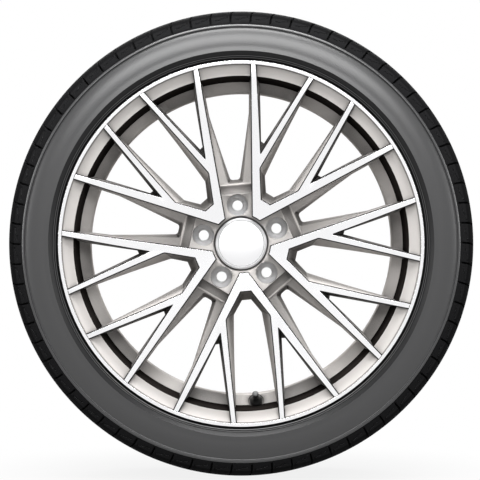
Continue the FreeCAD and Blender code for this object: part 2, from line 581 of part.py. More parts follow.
def build_wheel():
    """Wheel: one casting with its spoked disc and rim barrel."""
    body = new_body("wheel")
    bore = "dim.bore_diameter / 2"
    socket = "dim.cap_socket_diameter / 2"
    cap_room = "dim.centre_cap_diameter / 2 + dim.centre_cap_fit"
    barrel_half = f"({SEAT_RADIUS} - dim.seat_wall / 2)"
    disc = new_sketch(body, "disc_section", "XY_Plane")
    draw_outline(disc, outboard([
        (bore, "dim.offset"),
        ("dim.mounting_face_diameter / 2", "dim.offset"),
        ("dim.mounting_face_diameter / 2 + dim.mounting_face_step", "dim.offset + dim.mounting_face_step"),
        (f"{WALL_FOOT_RADIUS} + dim.barrel_wall / 3", "dim.spoke_back_rim_axial"),
        (f"{WALL_TOP_RADIUS} + dim.barrel_wall / 3", WALL_TOP),
        (barrel_half, FLANGE_FACE),
        (f"{SEAT_RADIUS} + dim.flange_heel_height / 2", f"{FLANGE_FACE} + dim.flange_heel_height / 2"),
        (f"{LIP_INNER_RADIUS} + dim.face_step", f"{LIP_FACE} - dim.face_step"),
        ("dim.face_hub_radius", "dim.face_hub_axial"),
        ("dim.face_hub_radius - dim.tip_draft", "dim.pad_axial"),
        ("dim.recess_radius", "dim.pad_axial"),
        (cap_room, "dim.pad_axial - dim.recess_chamfer"),
        (cap_room, "dim.cap_seat_axial"),
        (socket, "dim.cap_seat_axial"),
        (socket, "dim.cap_seat_axial - dim.cap_socket_depth"),
        (bore, "dim.cap_seat_axial - dim.cap_socket_depth"),
    ]))
    revolve(body, "disc", disc)
    features = [
        kite_window(body),
        slim_window(body, "slim_window_right", 1),
        slim_window(body, "slim_window_left", -1),
        bolt_recess(body),
        web_scoop(body),
        bolt_window(body),
        bolt_hole(body),
        hub_pocket(body),
    ]
    polar_pattern(body, "spoke_pattern", features, "dim.spoke_count")

    clip_groove = new_sketch(body, "clip_groove_section", "XY_Plane")
    groove_floor = f"{socket} + dim.clip_hook + dim.clip_groove_room"
    groove_near = "dim.cap_seat_axial - dim.clip_hook_start + dim.clip_groove_room"
    groove_far = "dim.cap_seat_axial - dim.clip_hook_start - dim.clip_hook_width - dim.clip_groove_room"
    draw_outline(clip_groove, outboard([
        (f"{socket} - dim.clip_wall", groove_far),
        (groove_floor, groove_far),
        (groove_floor, groove_near),
        (f"{socket} - dim.clip_wall", groove_near),
    ]))
    revolve(body, "clip_groove", clip_groove, cut=True)

    outer = [
        (FLANGE_RADIUS, LIP_FACE),
        (FLANGE_RADIUS, f"{LIP_FACE} - dim.flange_lip_width"),
        (f"{SEAT_RADIUS} + dim.flange_heel_height", FLANGE_FACE),
        (SEAT_RADIUS, FLANGE_FACE),
        (f"{SEAT_RADIUS} - dim.seat_fall", f"{FLANGE_FACE} - dim.seat_width"),
    ]
    well_start = f"({FLANGE_FACE} - dim.well_start)"
    well_end = f"({well_start} - dim.well_floor_width)"
    ledge_start = f"({well_end} - dim.ledge_slope)"
    dish_edge = f"{SEAT_RADIUS} - dim.dish_inner_gap"
    well = [
        (WELL_RADIUS, f"-{well_start}"),
        (WELL_RADIUS, f"-{well_end}"),
        (f"{WELL_RADIUS} + dim.ledge_rise", f"-{ledge_start}"),
        (f"{WELL_RADIUS} + dim.ledge_rise", f"{FLANGE_FACE} - dim.seat_width - dim.ledge_slope"),
    ]
    inside = [
        (LIP_INNER_RADIUS, LIP_FACE),
        (dish_edge, f"{LIP_FACE} - dim.dish_fall"),
        (f"{WALL_FOOT_RADIUS} + dim.ledge_rise", f"{FLANGE_FACE} - dim.seat_width"),
        (f"{WALL_FOOT_RADIUS} + dim.ledge_rise", f"-{ledge_start}"),
        (WALL_FOOT_RADIUS, f"-{well_end}"),
        (WALL_FOOT_RADIUS, f"-{WALL_FOOT}"),
        (WALL_TOP_RADIUS, f"-{WALL_TOP}"),
        (f"{SEAT_RADIUS} - dim.seat_wall", f"-{FLANGE_FACE}"),
        (dish_edge, f"-({LIP_FACE} - dim.dish_fall - dim.lip_chamfer_depth)"),
        (f"{LIP_INNER_RADIUS} - dim.lip_chamfer", f"-({LIP_FACE} - dim.lip_chamfer_depth)"),
        (LIP_INNER_RADIUS, f"-{LIP_FACE}"),
    ]
    barrel = new_sketch(body, "barrel_section", "XY_Plane")
    draw_outline(barrel, outboard(outer) + well + outer[::-1] + inside)
    revolve(body, "barrel", barrel)

    hole = valve_sketch(body, "valve_hole_section")
    spot = "dim.valve_spot_diameter / 2"
    far = "dim.cut_overrun"
    draw_outline(hole, [
        (f"-dim.valve_rim_wall - {far}", "0"),
        (far, "0"),
        (far, spot),
        ("0", spot),
        ("0", "dim.valve_hole_diameter / 2"),
        ("-dim.valve_rim_wall", "dim.valve_hole_diameter / 2"),
        ("-dim.valve_rim_wall", spot),
        (f"-dim.valve_rim_wall - {far}", spot),
    ])
    revolve(body, "valve_hole", hole, axis="H_Axis", cut=True)
    return body


def turned_valve_piece(name, outline):
    """Piece of the valve turned about the valve's axis."""
    body = new_body(name)
    sketch = valve_sketch(body, f"{name}_section")
    draw_outline(sketch, outline)
    revolve(body, f"{name}_turned", sketch, axis="H_Axis")
    return body


def build_valve():
    """Snap-in valve: rubber stem, brass tube, core with its sprung pin, and screw cap with its seal."""
    neck = "-dim.valve_rim_wall"
    foot = f"({neck} - dim.valve_fit)"
    rubber_bore = "dim.tube_diameter / 2 + dim.tube_fit"
    rubber_end = f"{foot} - dim.valve_foot_height"
    stem = turned_valve_piece("valve_stem", [
        (rubber_end, rubber_bore),
        (rubber_end, "dim.valve_foot_diameter / 2"),
        (foot, "dim.valve_foot_diameter / 2"),
        (foot, "dim.valve_hole_diameter / 2 - dim.valve_fit"),
        ("dim.valve_fit", "dim.valve_hole_diameter / 2 - dim.valve_fit"),
        ("dim.valve_fit", "dim.valve_bell_diameter / 2"),
        ("dim.valve_bell_height", "dim.valve_bell_diameter / 2"),
        ("dim.valve_rubber_height", "dim.valve_rubber_top_diameter / 2"),
        ("dim.valve_rubber_height", rubber_bore),
    ])
    core_room = "dim.core_diameter / 2 + dim.core_fit"
    tube = turned_valve_piece("valve_tube", [
        (rubber_end, "dim.tube_bore_diameter / 2"),
        (rubber_end, "dim.tube_diameter / 2"),
        ("dim.tube_thread_start", "dim.tube_diameter / 2"),
        ("dim.tube_thread_start", "dim.tube_thread_diameter / 2"),
        ("dim.tube_height", "dim.tube_thread_diameter / 2"),
        ("dim.tube_height", core_room),
        ("dim.core_start - dim.core_fit", core_room),
        ("dim.core_start - dim.core_fit", "dim.tube_bore_diameter / 2"),
    ])
    pin_room = "dim.pin_diameter / 2 + dim.pin_fit"
    core = turned_valve_piece("valve_core", [
        ("dim.core_start", pin_room),
        ("dim.core_start", "dim.core_diameter / 2"),
        ("dim.core_height", "dim.core_diameter / 2"),
        ("dim.core_height", "dim.core_bore_diameter / 2"),
        ("dim.core_start + dim.core_floor", "dim.core_bore_diameter / 2"),
        ("dim.core_start + dim.core_floor", pin_room),
    ])
    seal_face = "dim.core_start - dim.pin_fit"
    pin = turned_valve_piece("valve_pin", [
        (f"{seal_face} - dim.pin_seal_height", "0"),
        (f"{seal_face} - dim.pin_seal_height", "dim.pin_seal_diameter / 2"),
        (seal_face, "dim.pin_seal_diameter / 2"),
        (seal_face, "dim.pin_diameter / 2"),
        ("dim.pin_collar_start", "dim.pin_diameter / 2"),
        ("dim.pin_collar_start", "dim.pin_collar_diameter / 2"),
        ("dim.pin_collar_start + dim.pin_collar_height", "dim.pin_collar_diameter / 2"),
        ("dim.pin_collar_start + dim.pin_collar_height", "dim.pin_diameter / 2"),
        ("dim.pin_height", "dim.pin_diameter / 2"),
        ("dim.pin_height", "0"),
    ])
    seal_start = "(dim.tube_height + dim.seal_fit)"
    roof = f"({seal_start} + dim.seal_height + dim.seal_fit)"
    cap_bore = "dim.tube_thread_diameter / 2 + dim.cap_thread_fit"
    cap = turned_valve_piece("valve_cap", [
        ("dim.cap_start", cap_bore),
        ("dim.cap_start", "dim.cap_diameter / 2"),
        ("dim.cap_height - dim.cap_top_chamfer", "dim.cap_diameter / 2"),
        ("dim.cap_height", "dim.cap_diameter / 2 - dim.cap_top_chamfer"),
        ("dim.cap_height", "0"),
        (roof, "0"),
        (roof, cap_bore),
    ])
    seal_radius = f"{cap_bore} - dim.seal_fit"
    seal = turned_valve_piece("cap_seal", [
        (seal_start, "0"),
        (seal_start, seal_radius),
        (f"{seal_start} + dim.seal_height", seal_radius),
        (f"{seal_start} + dim.seal_height", "0"),
    ])
    return [stem, tube, core, pin, cap, seal]


def build_spring(core):
    """Coil of square wire round the valve pin, between the core's floor and the pin's collar."""
    half_wire = value("dim.spring_wire") / 2
    low = value("dim.core_start + dim.core_floor + dim.pin_fit") + half_wire
    high = value("dim.pin_collar_start - dim.pin_fit") - half_wire
    radius = value("dim.spring_diameter") / 2
    path = Part.Wire(Part.makeHelix((high - low) / value("dim.spring_turns"), high - low, radius))
    corners = [(-1, -1), (1, -1), (1, 1), (-1, 1), (-1, -1)]
    section = Part.makePolygon([
        FreeCAD.Vector(radius + side * half_wire, 0, end * half_wire) for side, end in corners
    ])
    spring = doc.addObject("Part::Feature", "valve_spring")
    spring.Label = "valve_spring"
    spring.Shape = path.makePipeShell([section], True, True)
    sketch = next(item for item in core.Group if item.TypeId == "Sketcher::SketchObject")
    on_axis = FreeCAD.Placement(FreeCAD.Vector(low, 0, 0), FreeCAD.Rotation(FreeCAD.Vector(0, 1, 0), 90))
    spring.Placement = core.Placement.multiply(sketch.Placement).multiply(on_axis)
    return spring


def build_centre_cap():
    """Clip-in centre cap: a flat face with a bevelled edge and a ring of hooked clips."""
    body = new_body("centre_cap")
    edge = "dim.centre_cap_diameter / 2"
    seat = "(dim.cap_seat_axial + dim.centre_cap_seat_fit)"
    rim = f"({seat} + dim.centre_cap_edge)"
    face = f"({rim} + dim.centre_cap_bevel_rise)"
    clip = "(dim.cap_socket_diameter / 2 - dim.clip_fit)"
    hook = "(dim.cap_socket_diameter / 2 + dim.clip_hook - dim.clip_fit)"
    hook_near = "(dim.cap_seat_axial - dim.clip_hook_start)"
    end = "(dim.cap_seat_axial - dim.clip_length)"
    section = new_sketch(body, "cap_section", "XY_Plane")
    draw_outline(section, outboard([
        ("0", face),
        ("0", f"{face} - dim.centre_cap_wall"),
        (f"{clip} - dim.clip_wall", f"{face} - dim.centre_cap_wall"),
        (f"{clip} - dim.clip_wall", end),
        (clip, end),
        (clip, f"{hook_near} - dim.clip_hook_width"),
        (hook, f"{hook_near} - dim.clip_hook_width"),
        (hook, hook_near),
        (clip, hook_near),
        (clip, seat),
        (edge, seat),
        (edge, rim),
        (f"{edge} - dim.centre_cap_bevel", face),
    ]))
    revolve(body, "cap_turned", section)
    slots = new_sketch(body, "clip_slots", "XZ_Plane", end)
    half = "dim.clip_slot_width / 2"
    draw_outline(slots, mirrored_outline([(half, f"-{edge}"), (half, edge)]))
    cut = body.newObject("PartDesign::Pocket", "clip_slot")
    cut.Profile = slots
    cut.setExpression("Length", "dim.clip_length")
    cut.Reversed = True
    doc.recompute()
    polar_pattern(body, "clip_slot_pattern", [cut], "dim.clip_slot_count", 180)
    return body


def main():
    """Build every piece, check it and write it to the parts folder."""
    pieces = [build_tyre(), build_wheel(), build_centre_cap()]
    valve = build_valve()
    pieces += valve
    pieces.append(build_spring(valve[2]))
    doc.recompute()
    for item in doc.Objects:
        if "Invalid" in item.State or "Error" in item.State:
            raise RuntimeError(f"{item.Label} failed: {item.State}")
    os.makedirs("parts", exist_ok=True)
    for piece in pieces:
        if piece.Shape.isNull() or not piece.Shape.isValid():
            raise RuntimeError(f"{piece.Label} has no valid shape")
    for piece in pieces:
        piece.Shape.exportStep(f"parts/{piece.Label}.step")
        print(piece.Label, len(piece.Shape.Solids), round(piece.Shape.Volume), piece.Shape.BoundBox)


main()
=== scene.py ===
import math

import bmesh
import bpy
import numpy as np
from bpy.props import FloatProperty, FloatVectorProperty, IntProperty, PointerProperty
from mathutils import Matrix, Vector


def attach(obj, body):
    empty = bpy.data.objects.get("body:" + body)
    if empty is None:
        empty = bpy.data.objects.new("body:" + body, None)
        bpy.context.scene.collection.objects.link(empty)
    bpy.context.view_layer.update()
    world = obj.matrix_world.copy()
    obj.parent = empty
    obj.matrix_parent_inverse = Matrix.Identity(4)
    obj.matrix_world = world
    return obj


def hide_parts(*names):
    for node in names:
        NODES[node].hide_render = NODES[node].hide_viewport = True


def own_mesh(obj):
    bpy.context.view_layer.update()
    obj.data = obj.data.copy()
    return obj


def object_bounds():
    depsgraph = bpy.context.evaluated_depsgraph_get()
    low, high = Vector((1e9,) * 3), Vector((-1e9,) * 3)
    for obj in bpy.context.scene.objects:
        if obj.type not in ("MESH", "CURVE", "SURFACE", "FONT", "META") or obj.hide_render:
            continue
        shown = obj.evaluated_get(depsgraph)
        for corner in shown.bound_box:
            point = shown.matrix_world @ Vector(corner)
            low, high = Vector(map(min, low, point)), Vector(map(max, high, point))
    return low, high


bl_info = {
    "name": "Road wheel",
    "version": (1, 0, 0),
    "blender": (4, 5, 0),
    "location": "View3D > Sidebar > Road wheel",
    "description": "Builds a low-profile tyre on a split-spoke alloy wheel with its valve and centre cap",
    "category": "Object",
}

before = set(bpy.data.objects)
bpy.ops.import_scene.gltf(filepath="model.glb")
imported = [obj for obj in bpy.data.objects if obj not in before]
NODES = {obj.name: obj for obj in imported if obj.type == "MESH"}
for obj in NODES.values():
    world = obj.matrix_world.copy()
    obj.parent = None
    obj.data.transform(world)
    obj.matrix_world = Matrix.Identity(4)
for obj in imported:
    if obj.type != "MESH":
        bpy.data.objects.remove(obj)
CAD_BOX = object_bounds()
MM = 0.001

# The axis of the valve: a point on the rim's seat and the way out of the tyre, in the wheel's frame
VALVE_SEAT = Vector((21.67, -78.313, -229.244)) * MM
VALVE_AXIS = Vector((-0.048891, -0.854459, 0.517213)).normalized()

# Where one shoulder slot of the tyre stands, in degrees from straight up
FIRST_SLOT = -95.4

# The machined face of the spokes is a shallow cone between these two points (radius, distance outboard)
FACE_INNER = (43.0, 101.0)
FACE_OUTER = (257.1, 119.65)
LIP_FACE = 119.95


# Settings

class TyreSettings(bpy.types.PropertyGroup):
    """Sizes and finish of the tyre."""

    rubber: FloatVectorProperty(name="Rubber", description="Colour of the tyre", subtype="COLOR",
                                default=(0.014, 0.014, 0.015), min=0, max=1)
    tread: FloatVectorProperty(name="Tread", description="Colour of the tread and beads", subtype="COLOR",
                               default=(0.009, 0.009, 0.0095), min=0, max=1)
    roughness: FloatProperty(name="Roughness", description="Roughness of the sidewall", subtype="FACTOR",
                             default=0.3, min=0, max=1)
    slots: IntProperty(name="Slots", description="Shoulder slots on each side", default=70, min=20, max=120)
    slot_depth: FloatProperty(name="Slot depth", description="Depth of the shoulder slots",
                              subtype="DISTANCE", unit="LENGTH", default=6 * MM, min=0, max=0.01)
    sipe_depth: FloatProperty(name="Sipe depth", description="Depth of the zigzag sipes", subtype="DISTANCE",
                              unit="LENGTH", default=1.6 * MM, min=0, max=0.006)


class AlloySettings(bpy.types.PropertyGroup):
    """Finish of the cast wheel and its cap."""

    paint: FloatVectorProperty(name="Paint", description="Colour of the painted casting", subtype="COLOR",
                               default=(0.52, 0.498, 0.481), min=0, max=1)
    # The step's near-black colour is painted shade of the deep step behind the dished band
    shade: FloatVectorProperty(name="Step", description="Colour of the deep step behind the dished band",
                               subtype="COLOR", default=(0.014, 0.012, 0.011), min=0, max=1)
    machined: FloatVectorProperty(name="Machined face", description="Colour of the bright turned metal",
                                  subtype="COLOR", default=(0.9, 0.9, 0.91), min=0, max=1)
    cap: FloatVectorProperty(name="Centre cap", description="Colour of the centre cap", subtype="COLOR",
                             default=(0.86, 0.86, 0.87), min=0, max=1)
    edge: FloatProperty(name="Edge radius", description="Rounding of the casting's edges", subtype="DISTANCE",
                        unit="LENGTH", default=1.0 * MM, min=0, max=0.003)


class ValveSettings(bpy.types.PropertyGroup):
    """Finish of the valve."""

    rubber: FloatVectorProperty(name="Rubber", description="Colour of the valve's body", subtype="COLOR",
                                default=(0.018, 0.018, 0.018), min=0, max=1)
    brass: FloatVectorProperty(name="Brass", description="Colour of the tube and core", subtype="COLOR",
                               default=(0.72, 0.52, 0.22), min=0, max=1)
    plastic: FloatVectorProperty(name="Cap", description="Colour of the valve's cap", subtype="COLOR",
                                 default=(0.02, 0.02, 0.021), min=0, max=1)
    ridges: IntProperty(name="Ridges", description="Grip ridges round the cap", default=24, min=8, max=48)


class StageSettings(bpy.types.PropertyGroup):
    """Floor, light and camera."""

    floor: FloatVectorProperty(name="Floor", description="Colour of the floor", subtype="COLOR",
                               default=(0.2, 0.2, 0.2), min=0, max=1)
    key: FloatProperty(name="Key light", description="Power of the soft light above the camera", unit="POWER",
                       default=44, min=0, max=2000)
    top: FloatProperty(name="Top light", description="Power of the soft light overhead", unit="POWER",
                       default=98, min=0, max=2000)
    fill: FloatProperty(name="Fill light", description="Power of the soft light at the camera", unit="POWER",
                        default=15, min=0, max=2000)
    back: FloatProperty(name="Back light", description="Power of the soft light above and behind",
                        unit="POWER", default=55, min=0, max=2000)
    side: FloatProperty(name="Side lights", description="Power of each soft light beside the wheel",
                        unit="POWER", default=22, min=0, max=2000)
    ambient: FloatProperty(name="Ambient", description="Strength of the light from all round", default=0.05,
                           min=0, max=2)
    distance: FloatProperty(name="Camera distance", description="From the wheel's centre to the camera",
                            subtype="DISTANCE", unit="LENGTH", default=3.12, min=0.5, max=20)
    lens: FloatProperty(name="Lens", description="Focal length on a 36 mm sensor", subtype="DISTANCE_CAMERA",
                        default=157.8, min=10, max=500)


# Meshes

def add_piece(name, mesh, body, slot, *nodes):
    """Link a mesh as a piece of the wheel that rides on a body and stands for CAD nodes."""
    piece = bpy.data.objects.new(name, mesh)
    bpy.context.scene.collection.objects.link(piece)
    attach(piece, body)
    if nodes:
        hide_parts(*nodes)
    return piece


def grid_mesh(name, points, close_rows=False):
    """Mesh from rows of points whose columns run round and close; rows close into a tube if asked."""
    rows, columns, _ = points.shape
    index = np.arange(rows * columns).reshape(rows, columns)
    last = rows if close_rows else rows - 1
    lower = index[:last]
    upper = np.roll(index, -1, axis=0)[:last]
    faces = np.stack([lower, np.roll(lower, -1, axis=1), np.roll(upper, -1, axis=1), upper], axis=-1)
    mesh = bpy.data.meshes.new(name)
    mesh.from_pydata(points.reshape(-1, 3).tolist(), [], faces.reshape(-1, 4).tolist())
    mesh.update()
    return mesh


def smooth(mesh, angle=35):
    """Smooth shading with edges sharp above an angle in degrees."""
    mesh.shade_smooth()
    mesh.set_sharp_from_angle(angle=math.radians(angle))


def round_wheel(radius, axial, angle):
    """Points round the spin axis from radii, distances along Y and angles from straight up."""
    return np.stack([radius * np.sin(angle), axial + 0 * angle, radius * np.cos(angle)], axis=-1)


def curve_through(points, count):
    """Even samples of a smooth curve through points."""
    points = np.array(points, float)
    ends = np.vstack([2 * points[0] - points[1], points, 2 * points[-1] - points[-2]])
    samples = []
    steps = 12
    for before, start, end, after in zip(ends, ends[1:], ends[2:], ends[3:]):
        t = np.linspace(0, 1, steps, endpoint=False)[:, None]
        slope = end - before
        bend = 2 * before - 5 * start + 4 * end - after
        twist = 3 * start - before - 3 * end + after
        samples.append(0.5 * (2 * start + slope * t + bend * t ** 2 + twist * t ** 3))
    samples = np.vstack(samples + [points[-1:]])
    length = np.concatenate([[0], np.cumsum(np.linalg.norm(np.diff(samples, axis=0), axis=1))])
    even = np.linspace(0, length[-1], count)
    return np.stack([np.interp(even, length, samples[:, k]) for k in range(samples.shape[1])], axis=-1)


def lathe(name, outline, columns, shape=None):
    """Piece turned about the valve's axis from a closed section of (distance out, radius) in millimetres."""
    across = VALVE_AXIS.orthogonal().normalized()
    side = VALVE_AXIS.cross(across)
    outline = np.array(outline, float)
    angle = np.linspace(0, 2 * math.pi, columns, endpoint=False)[None, :]
    out = outline[:, :1] + 0 * angle
    radius = outline[:, 1:2] + 0 * angle
    if shape:
        radius = shape(out, radius, angle + 0 * out)
    points = (np.array(VALVE_SEAT) + out[..., None] * MM * np.array(VALVE_AXIS)
              + (radius * np.cos(angle))[..., None] * MM * np.array(across)
              + (radius * np.sin(angle))[..., None] * MM * np.array(side))
    mesh = grid_mesh(name, points, close_rows=True)
    smooth(mesh)
    return mesh


# Materials

# Satin paint: its roughness, and the painted shade that darkens its colour in hollows (share of the colour
# that is left, reach in metres, and the openness between which it fades)
PAINT_ROUGHNESS = 0.42
HOLLOW_SHADE = 0.3
HOLLOW_REACH = 0.05
HOLLOW_FADE = (0.1, 0.92)

# Distance between the fine rings of turned metal, in metres
RING_PITCH = 0.5 * MM


def new_material(name, colour, roughness, metallic=0.0):
    """Principled material; returns it with its node tree and shader."""
    material = bpy.data.materials.new(name)
    material.use_nodes = True
    shader = material.node_tree.nodes["Principled BSDF"]
    shader.inputs["Base Color"].default_value = (*colour, 1)
    shader.inputs["Roughness"].default_value = roughness
    shader.inputs["Metallic"].default_value = metallic
    return material, material.node_tree, shader


def node(tree, kind, **values):
    """New shader node with its properties or inputs set."""
    made = tree.nodes.new(kind)
    for key, value in values.items():
        if key in made.inputs:
            made.inputs[key].default_value = value
        else:
            setattr(made, key, value)
    return made


def grain(tree, shader, scale, distance):
    """Fine moulded or cast grain as a bump."""
    place = node(tree, "ShaderNodeTexCoord")
    noise = node(tree, "ShaderNodeTexNoise", Scale=scale, Detail=3.0)
    bump = node(tree, "ShaderNodeBump", Strength=0.4, Distance=distance)
    tree.links.new(place.outputs["Object"], noise.inputs["Vector"])
    tree.links.new(noise.outputs["Fac"], bump.inputs["Height"])
    tree.links.new(bump.outputs["Normal"], shader.inputs["Normal"])


def rounded_edges(tree, shader, radius):
    """Shade edges as if they were rounded."""
    bevel = node(tree, "ShaderNodeBevel", samples=6, Radius=radius)
    tree.links.new(bevel.outputs["Normal"], shader.inputs["Normal"])


def paint_material(name, colour, radius, sheen):
    """Satin paint of the casting, darkened in hollows as painted shade; the sheen is the level of its
    reflection.
    """
    material, tree, shader = new_material(name, colour, PAINT_ROUGHNESS)
    shader.inputs["Specular IOR Level"].default_value = sheen
    rounded_edges(tree, shader, radius)
    # Painted shade: ambient occlusion mixes a darker share of the colour into hollows
    hollow = node(tree, "ShaderNodeAmbientOcclusion", samples=8, Distance=HOLLOW_REACH)
    fade = node(tree, "ShaderNodeMapRange", interpolation_type="SMOOTHSTEP")
    fade.inputs["From Min"].default_value = HOLLOW_FADE[0]
    fade.inputs["From Max"].default_value = HOLLOW_FADE[1]
    mix = node(tree, "ShaderNodeMix", data_type="RGBA")
    mix.inputs["A"].default_value = (*(HOLLOW_SHADE * level for level in colour), 1)
    mix.inputs["B"].default_value = (*colour, 1)
    tree.links.new(hollow.outputs["AO"], fade.inputs["Value"])
    tree.links.new(fade.outputs["Result"], mix.inputs["Factor"])
    tree.links.new(mix.outputs["Result"], shader.inputs["Base Color"])
    return material


def rubber_material(name, colour, roughness, sheen):
    """Moulded rubber; the sheen is the level of its reflection."""
    material, tree, shader = new_material(name, colour, roughness)
    shader.inputs["Specular IOR Level"].default_value = sheen
    grain(tree, shader, 900.0, 0.0001)
    return material


def turned_material(name, colour, radius, roughness):
    """Bright turned metal with fine rings about the spin axis."""
    material, tree, shader = new_material(name, colour, roughness, 1.0)
    bevel = node(tree, "ShaderNodeBevel", samples=6, Radius=radius)
    place = node(tree, "ShaderNodeTexCoord")
    split = node(tree, "ShaderNodeSeparateXYZ")
    flat = node(tree, "ShaderNodeCombineXYZ")
    length = node(tree, "ShaderNodeVectorMath", operation="LENGTH")
    rings = node(tree, "ShaderNodeMath", operation="SINE")
    pitch = node(tree, "ShaderNodeMath", operation="MULTIPLY")
    pitch.inputs[1].default_value = 2 * math.pi / RING_PITCH
    bump = node(tree, "ShaderNodeBump", Strength=0.06, Distance=0.00005)
    tree.links.new(place.outputs["Object"], split.inputs[0])
    tree.links.new(split.outputs["X"], flat.inputs["X"])
    tree.links.new(split.outputs["Z"], flat.inputs["Z"])
    tree.links.new(flat.outputs[0], length.inputs[0])
    tree.links.new(length.outputs["Value"], pitch.inputs[0])
    tree.links.new(pitch.outputs[0], rings.inputs[0])
    tree.links.new(rings.outputs[0], bump.inputs["Height"])
    tree.links.new(bevel.outputs["Normal"], bump.inputs["Normal"])
    tree.links.new(bump.outputs["Normal"], shader.inputs["Normal"])
    return material


# Tyre sections in millimetres: (radius, distance from the centre plane)

SHOULDER = (
    (313.0, 118.3), (317.4, 116.8), (322.9, 112.6), (328.4, 105.8), (332.1, 98.2), (334.1, 90.0),
    (335.6, 78.0), (337.1, 62.4),
)
OUTER_GROOVE = ((336.9, 62.0), (330.9, 60.3), (330.7, 57.0), (330.9, 53.7), (337.1, 52.0))
MIDDLE_RIB = ((337.5, 51.5), (337.9, 46.0), (338.2, 40.0), (338.5, 33.0), (338.6, 27.0), (338.6, 23.5))
INNER_GROOVE = ((338.2, 23.0), (331.6, 21.3), (331.5, 18.0), (331.6, 14.7), (338.7, 13.0))
CENTRE_RIB = ((339.1, 12.5), (339.15, 6.0), (339.2, 0.0))

SIDEWALL = (
    (313.3, 117.8), (313.1, 118.7), (312.6, 119.4), (311.6, 119.9), (310.4, 120.2), (309.7, 120.0),
    (309.2, 119.2), (308.7, 118.4), (308.0, 118.2), (307.0, 118.6), (305.0, 119.5), (302.0, 120.6),
    (299.0, 121.5), (296.0, 122.2), (293.0, 122.75), (290.0, 123.15), (287.0, 123.45), (284.0, 123.6),
    (282.0, 123.68), (280.0, 123.85), (277.5, 124.15), (275.0, 124.4), (273.4, 123.3), (271.8, 122.2),
    (270.2, 121.2), (268.9, 120.4), (268.4, 121.1), (267.5, 120.9), (267.0, 119.8), (266.5, 119.1),
    (266.0, 119.6), (265.1, 119.2), (264.6, 118.0), (263.6, 116.9), (262.4, 115.6), (261.7, 114.2),
    (251.2, 107.7), (244.0, 107.7), (242.5, 88.3), (297.2, 113.3), (322.3, 95.0), (322.3, 40.0),
)

# The matt inner slope of the rim protector ends at this radius; the two fine ribs on it shine like the
# sidewall
BEAD_RADIUS = 275.2
BEAD_RIBS = ((267.2, 268.6), (264.8, 266.2))

# One pitch of the tread round the tyre: (place in the pitch, share of slot depth, share of sipe depth,
# shift of the sipe along the section in millimetres)
PITCH = (
    (-0.060, 0.0, 0.0, 0.0), (-0.048, 0.06, 0.0, 0.0), (-0.038, 1.0, 0.0, 0.0), (0.038, 1.0, 0.0, 0.0),
    (0.048, 0.06, 0.0, 0.0), (0.060, 0.0, 0.0, 0.0), (0.15, 0.0, 0.0, -0.6), (0.215, 0.0, 0.0, -0.6),
    (0.225, 0.0, 1.0, -0.6), (0.36, 0.0, 1.0, 0.2), (0.44, 0.0, 1.0, -1.2), (0.52, 0.0, 1.0, 1.6),
    (0.66, 0.0, 1.0, 2.4), (0.775, 0.0, 1.0, 4.0), (0.785, 0.0, 0.0, 4.0), (0.87, 0.0, 0.0, 2.0),
)

# How far the slots lean round the tyre, in pitches, at distances from the centre plane
LEAN = ((0.0, 0.66), (62.0, 0.66), (78.0, 0.36), (90.0, 0.16), (106.0, 0.04), (121.0, 0.0))

# Along the shoulder's section, in millimetres: samples taken of it, length in which the slots reach full
# depth, the sipe's place and the room on its two sides
SHOULDER_SAMPLES = 120
SLOT_RUN_IN = 8
SIPE_PLACE = 9.0
SIPE_ROOM = (3, 6.5)

# Notches of the middle ribs: share of the slot depth, and the distances from the centre plane between which
# they lie
NOTCH_SHARE = 0.45
NOTCH_REACH = (39, 51.8)

# The crown, up to this distance from the centre plane, takes a darker share of the tread's colour as painted
# shade
CROWN_REACH = 112.0
CROWN_SHADE = 0.7

# Rows across the sipe: (step along the section in millimetres, share of sipe depth)
SIPE_ROWS = ((-0.8, 0.0), (-0.35, 1.0), (0.35, 1.0), (0.8, 0.0))


def path_length(points):
    """Distance along a row of points."""
    return np.concatenate([[0], np.cumsum(np.linalg.norm(np.diff(points, axis=0), axis=1))])


def tread_rows():
    """Half of the tread's section, outboard side, with its rows.

    Gives the section's points and, for each row, its distance along the section, the shares of slot and
    sipe depth and whether it shifts with the sipe.
    """
    shoulder = curve_through(SHOULDER, SHOULDER_SAMPLES)
    rest = np.array(OUTER_GROOVE + MIDDLE_RIB + INNER_GROOVE + CENTRE_RIB)
    section = np.vstack([shoulder, rest])
    along = path_length(section)
    width = along[len(shoulder) - 1]
    rows = []
    before = np.linspace(0, SIPE_PLACE - SIPE_ROOM[0], 6)
    beyond = np.linspace(SIPE_PLACE + SIPE_ROOM[1], width, 17)
    for place in np.concatenate([before, beyond]):
        rows.append((place, min(1.0, place / SLOT_RUN_IN), 0.0, 0.0))
    for step, share in SIPE_ROWS:
        rows.append((SIPE_PLACE + step, 1.0, share, 1.0))
    for (_, axial), place in zip(rest, along[len(shoulder):]):
        notched = NOTCH_REACH[0] < axial < NOTCH_REACH[1]
        rows.append((place, NOTCH_SHARE if notched else 0.0, 0.0, 0.0))
    return section, along, np.array(sorted(rows))


